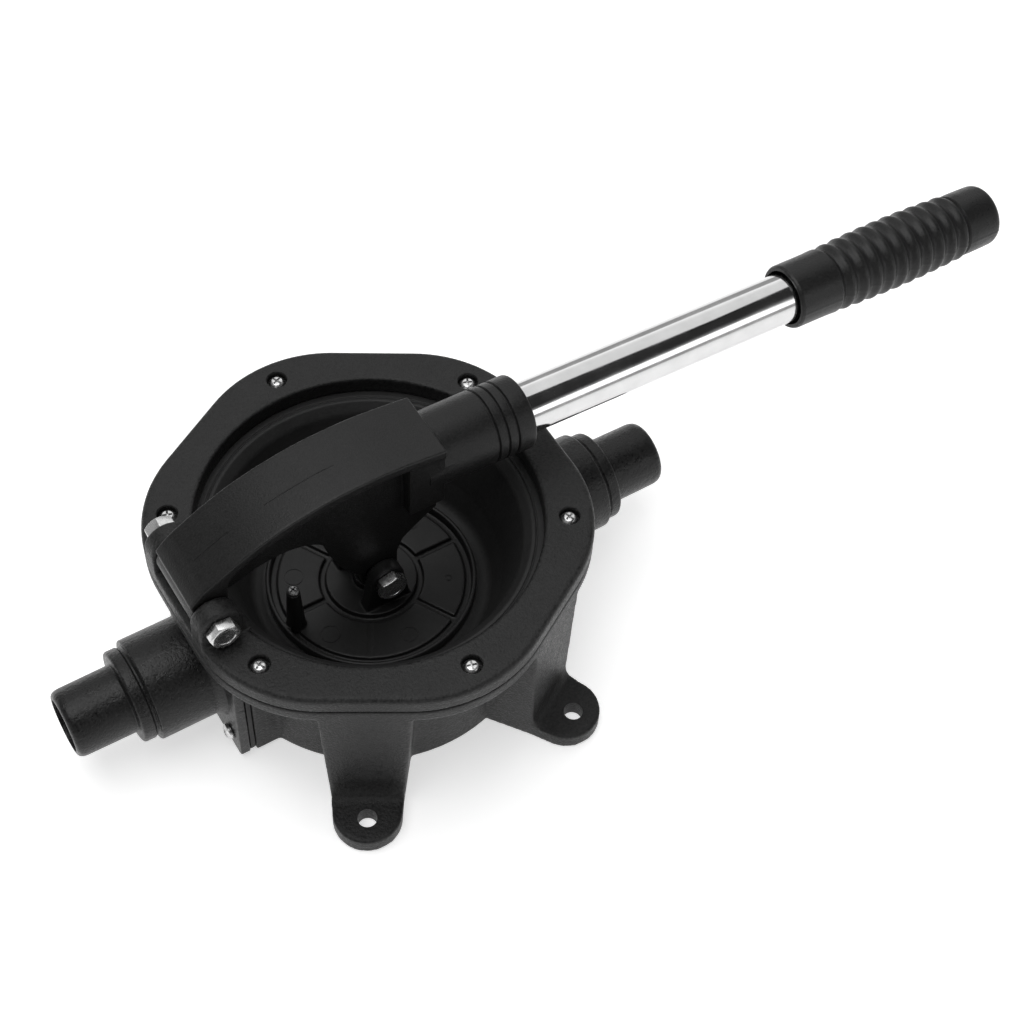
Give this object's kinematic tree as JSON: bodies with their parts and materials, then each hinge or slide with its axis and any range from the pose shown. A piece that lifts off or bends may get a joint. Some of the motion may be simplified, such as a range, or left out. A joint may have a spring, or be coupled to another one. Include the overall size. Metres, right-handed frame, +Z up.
{
  "type": "bilge pump",
  "caption": "Manual diaphragm bilge pump: round bowl on feet, clamped diaphragm, arched lever with pull-out handle, side hose spigots.",
  "frame": {"origin": "centre of the bowl underside, in the plane that the feet stand on", "axes": "+Z up along the bowl axis; +X along the hose spigots, from the lever pivot towards the grip; +Y along the pivot bolt, away from its head"},
  "size_m": [0.3942, 0.1666, 0.1097],
  "materials": {
    "body_plastic": "satin black moulded plastic with a fine grain",
    "plate_plastic": "smooth glossy black moulded plastic",
    "lever_plastic": "smooth satin black moulded plastic",
    "rubber": "matt black rubber",
    "grip_rubber": "semi-matt black moulded grip",
    "zinc_steel": "bright plated steel",
    "polished_tube": "polished steel"
  },
  "bodies": {
    "pump_body": {"pump_body": "body_plastic", "clamp_ring": "body_plastic", "clamp_screw_1": "zinc_steel", "clamp_screw_2": "zinc_steel", "clamp_screw_3": "zinc_steel", "clamp_screw_4": "zinc_steel", "clamp_screw_5": "zinc_steel", "clamp_screw_6": "zinc_steel", "diaphragm": "rubber", "pivot_bolt": "zinc_steel", "pivot_nut": "zinc_steel", "inlet_port": "body_plastic", "inlet_gasket": "rubber", "outlet_port": "body_plastic", "outlet_gasket": "rubber", "inlet_screw_1": "zinc_steel", "inlet_screw_2": "zinc_steel", "inlet_screw_3": "zinc_steel", "inlet_screw_4": "zinc_steel", "outlet_screw_1": "zinc_steel", "outlet_screw_2": "zinc_steel", "outlet_screw_3": "zinc_steel", "outlet_screw_4": "zinc_steel"},
    "lever": {"lever_arm": "lever_plastic"},
    "handle": {"handle_tube": "polished_tube", "handle_grip": "grip_rubber"},
    "plate": {"upper_plate": "plate_plastic", "lower_plate": "plate_plastic", "plate_bolt": "zinc_steel", "post_screw": "zinc_steel", "clevis_bolt": "zinc_steel", "clevis_nut": "zinc_steel"},
    "inlet_flap": {"inlet_flap": "rubber"},
    "outlet_flap": {"outlet_flap": "rubber"}
  },
  "joints": [
    {"name": "lever_pivot", "type": "hinge", "parent": "pump_body", "child": "lever", "pos_m": [-0.067, 0, 0.0784], "axis": [0, -1, 0], "range_deg": [0, 30]},
    {"name": "diaphragm_stroke", "type": "slide", "parent": "pump_body", "child": "plate", "axis": [0.1875, 0, 0.9823], "range_m": [0, 0.0387], "deforming": ["diaphragm"]},
    {"name": "handle_pull", "type": "slide", "parent": "lever", "child": "handle", "axis": [0.9993, 0, -0.0366], "range_m": [0, 0.028]},
    {"name": "inlet_flap_hinge", "type": "hinge", "parent": "pump_body", "child": "inlet_flap", "pos_m": [-0.0637, 0, 0.0432], "axis": [0, -1, 0], "range_deg": [0, 40], "stiffness_Nm_per_rad": 0.0005},
    {"name": "outlet_flap_hinge", "type": "hinge", "parent": "pump_body", "child": "outlet_flap", "pos_m": [0.0637, 0, 0.0432], "axis": [0, -1, 0], "range_deg": [0, 40], "stiffness_Nm_per_rad": 0.0005}
  ],
  "couplings": [
    {"joint": "diaphragm_stroke", "follows": "lever_pivot", "m_per_rad": 0.073576}
  ]
}
